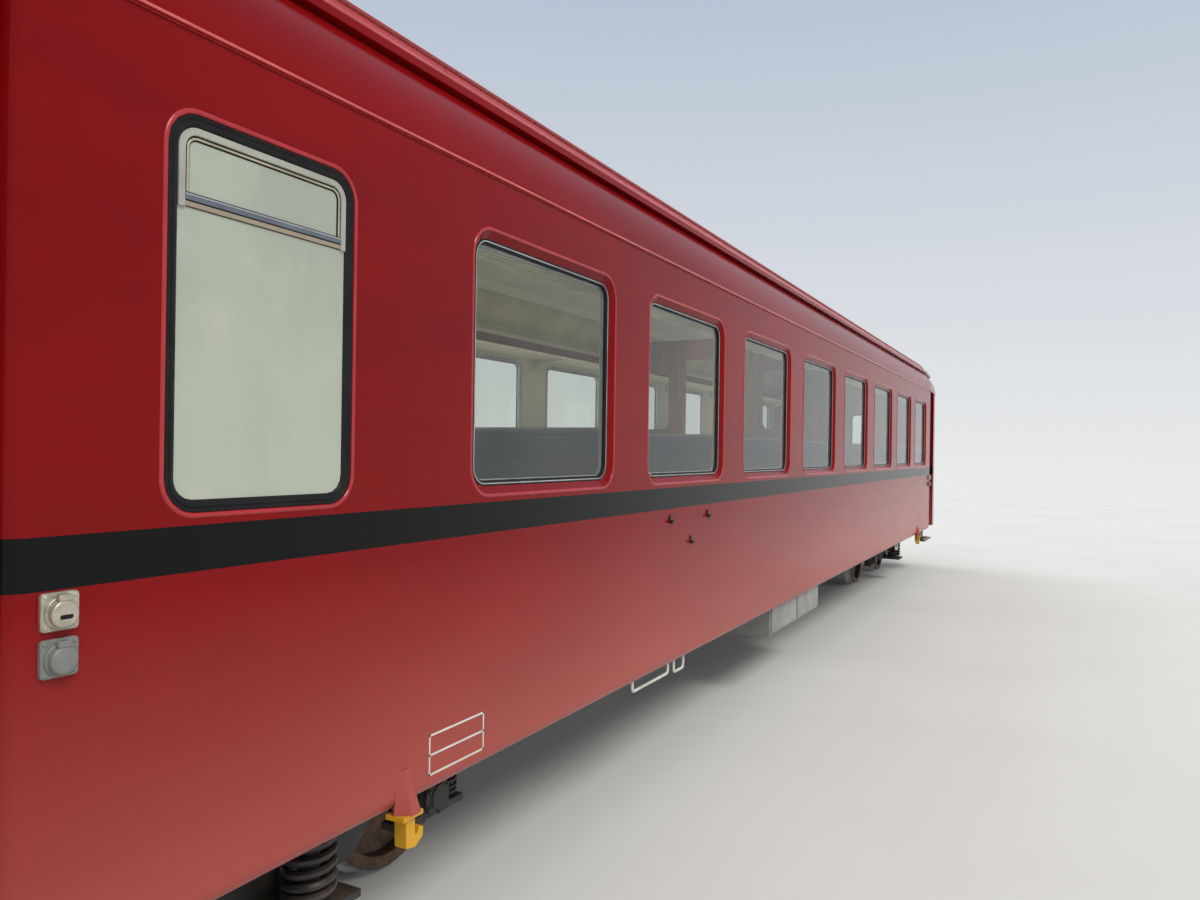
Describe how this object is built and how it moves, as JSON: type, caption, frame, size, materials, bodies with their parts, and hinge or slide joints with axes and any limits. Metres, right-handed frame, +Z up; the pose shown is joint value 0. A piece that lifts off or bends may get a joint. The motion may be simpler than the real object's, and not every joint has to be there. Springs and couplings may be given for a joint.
{
  "type": "narrow-gauge railway passenger coach",
  "caption": "Red metre-gauge bogie coach of a rack railway train: wide windows, recessed folding doors with steps, gangway ends, and toothed braking wheels under the bogies.",
  "frame": {"origin": "midway along and across the coach, on the level of the wheel flanges' lowest points", "axes": "+X along the coach towards the end that is far in the picture, +Z up, -Y the side that faces the camera"},
  "size_m": [18.58, 2.784, 3.6],
  "materials": {
    "coach_red": "gloss deep red enamel",
    "roof_grey": "satin weathered grey",
    "underframe": "satin dark grey, dusty",
    "wheel_steel": "rolled steel, bright treads",
    "buffer_steel": "satin, greased face",
    "bellows_rubber": "matt",
    "window_rubber": "satin",
    "window_glass": "clear, faintly green",
    "frosted_glass": "frosted",
    "bright_aluminium": "satin anodised",
    "floor_cover": "worn sheet",
    "laminate_brown": "satin laminate",
    "rack_cream": "satin",
    "seat_frame": "satin",
    "seat_cloth": "woven cloth",
    "box_grey": "satin light grey",
    "hook_yellow": "gloss yellow",
    "socket_metal": "cast, dull",
    "handle_white": "gloss white",
    "lamp_red": "clear red lens"
  },
  "bodies": {
    "coach_body": {"air_tanks": "underframe", "board_holders": "coach_red", "body_bolsters": "underframe", "brake_cylinder": "underframe", "cant_panel_left": "coach_red", "cant_panel_right": "coach_red", "centre_buffers": "buffer_steel", "cross_members": "underframe", "end_frames": "underframe", "end_wall_far": "coach_red", "end_wall_near": "coach_red", "entrance_steps": "underframe", "equipment_box": "box_grey", "floor": "floor_cover", "frosted_panes": "frosted_glass", "gangway_bellows": "bellows_rubber", "handrails": "handle_white", "hopper_frames": "bright_aluminium", "jacking_brackets": "coach_red", "lifting_hooks": "hook_yellow", "luggage_racks": "rack_cream", "partitions": "laminate_brown", "roof": "roof_grey", "seat_backs": "seat_cloth", "seat_cushions": "seat_cloth", "seat_frames": "seat_frame", "side_wall_left": "coach_red", "side_wall_right": "coach_red", "sole_bars": "underframe", "tail_lamps": "lamp_red", "toilet_walls": "laminate_brown", "wall_sockets": "socket_metal", "window_panes": "window_glass", "window_rubbers": "window_rubber"},
    "bogie_near": {"bogie_frame_near": "underframe", "bogie_bolster_near": "underframe", "bogie_springs_near": "underframe", "primary_springs_near": "underframe", "axle_boxes_near": "underframe", "brake_gear_near": "underframe"},
    "wheels_near_inner": {"wheelset_near_inner": "wheel_steel"},
    "wheels_near_outer": {"wheelset_near_outer": "wheel_steel"},
    "passage_door_near": {"gangway_door_near": "coach_red"},
    "leaf1_near_left": {"door_leaf1_near_left": "coach_red"},
    "leaf2_near_left": {"door_leaf2_near_left": "coach_red"},
    "leaf1_near_right": {"door_leaf1_near_right": "coach_red"},
    "leaf2_near_right": {"door_leaf2_near_right": "coach_red"},
    "bogie_far": {"bogie_frame_far": "underframe", "bogie_bolster_far": "underframe", "bogie_springs_far": "underframe", "primary_springs_far": "underframe", "axle_boxes_far": "underframe", "brake_gear_far": "underframe"},
    "wheels_far_inner": {"wheelset_far_inner": "wheel_steel"},
    "wheels_far_outer": {"wheelset_far_outer": "wheel_steel"},
    "passage_door_far": {"gangway_door_far": "coach_red"},
    "leaf1_far_left": {"door_leaf1_far_left": "coach_red"},
    "leaf2_far_left": {"door_leaf2_far_left": "coach_red"},
    "leaf1_far_right": {"door_leaf1_far_right": "coach_red"},
    "leaf2_far_right": {"door_leaf2_far_right": "coach_red"}
  },
  "joints": [
    {"name": "bogie_swivel_near", "type": "hinge", "parent": "coach_body", "child": "bogie_near", "pos_m": [-6.21, 0, 0.823], "axis": [0, 0, 1], "range_deg": [-6, 6]},
    {"name": "axle_spin_near_inner", "type": "hinge", "parent": "bogie_near", "child": "wheels_near_inner", "pos_m": [-5.31, 0, 0.403], "axis": [0, 1, 0], "continuous": true},
    {"name": "axle_spin_near_outer", "type": "hinge", "parent": "bogie_near", "child": "wheels_near_outer", "pos_m": [-7.11, 0, 0.403], "axis": [0, 1, 0], "continuous": true},
    {"name": "passage_door_hinge_near", "type": "hinge", "parent": "coach_body", "child": "passage_door_near", "pos_m": [-8.61, -0.377, 2], "axis": [0, 0, -1], "range_deg": [0, 90]},
    {"name": "door_hinge_near_right", "type": "hinge", "parent": "coach_body", "child": "leaf1_near_right", "pos_m": [-7.474, 1.095, 2], "axis": [0, 0, 1], "range_deg": [0, 85]},
    {"name": "door_fold_near_right", "type": "hinge", "parent": "leaf1_near_right", "child": "leaf2_near_right", "pos_m": [-7.888, 1.15, 2], "axis": [0, 0, 1], "range_deg": [-170, 0]},
    {"name": "door_hinge_near_left", "type": "hinge", "parent": "coach_body", "child": "leaf1_near_left", "pos_m": [-7.474, -1.095, 2], "axis": [0, 0, -1], "range_deg": [0, 85]},
    {"name": "door_fold_near_left", "type": "hinge", "parent": "leaf1_near_left", "child": "leaf2_near_left", "pos_m": [-7.888, -1.15, 2], "axis": [0, 0, -1], "range_deg": [-170, 0]},
    {"name": "bogie_swivel_far", "type": "hinge", "parent": "coach_body", "child": "bogie_far", "pos_m": [6.21, 0, 0.823], "axis": [0, 0, 1], "range_deg": [-6, 6]},
    {"name": "axle_spin_far_inner", "type": "hinge", "parent": "bogie_far", "child": "wheels_far_inner", "pos_m": [5.31, 0, 0.403], "axis": [0, 1, 0], "continuous": true},
    {"name": "axle_spin_far_outer", "type": "hinge", "parent": "bogie_far", "child": "wheels_far_outer", "pos_m": [7.11, 0, 0.403], "axis": [0, 1, 0], "continuous": true},
    {"name": "passage_door_hinge_far", "type": "hinge", "parent": "coach_body", "child": "passage_door_far", "pos_m": [8.61, -0.377, 2], "axis": [0, 0, 1], "range_deg": [0, 90]},
    {"name": "door_hinge_far_right", "type": "hinge", "parent": "coach_body", "child": "leaf1_far_right", "pos_m": [7.474, 1.095, 2], "axis": [0, 0, -1], "range_deg": [0, 85]},
    {"name": "door_fold_far_right", "type": "hinge", "parent": "leaf1_far_right", "child": "leaf2_far_right", "pos_m": [7.888, 1.15, 2], "axis": [0, 0, -1], "range_deg": [-170, 0]},
    {"name": "door_hinge_far_left", "type": "hinge", "parent": "coach_body", "child": "leaf1_far_left", "pos_m": [7.474, -1.095, 2], "axis": [0, 0, 1], "range_deg": [0, 85]},
    {"name": "door_fold_far_left", "type": "hinge", "parent": "leaf1_far_left", "child": "leaf2_far_left", "pos_m": [7.888, -1.15, 2], "axis": [0, 0, 1], "range_deg": [-170, 0]}
  ],
  "couplings": [
    {"joint": "door_fold_near_right", "follows": "door_hinge_near_right", "ratio": -2},
    {"joint": "door_fold_near_left", "follows": "door_hinge_near_left", "ratio": -2},
    {"joint": "door_fold_far_right", "follows": "door_hinge_far_right", "ratio": -2},
    {"joint": "door_fold_far_left", "follows": "door_hinge_far_left", "ratio": -2}
  ]
}
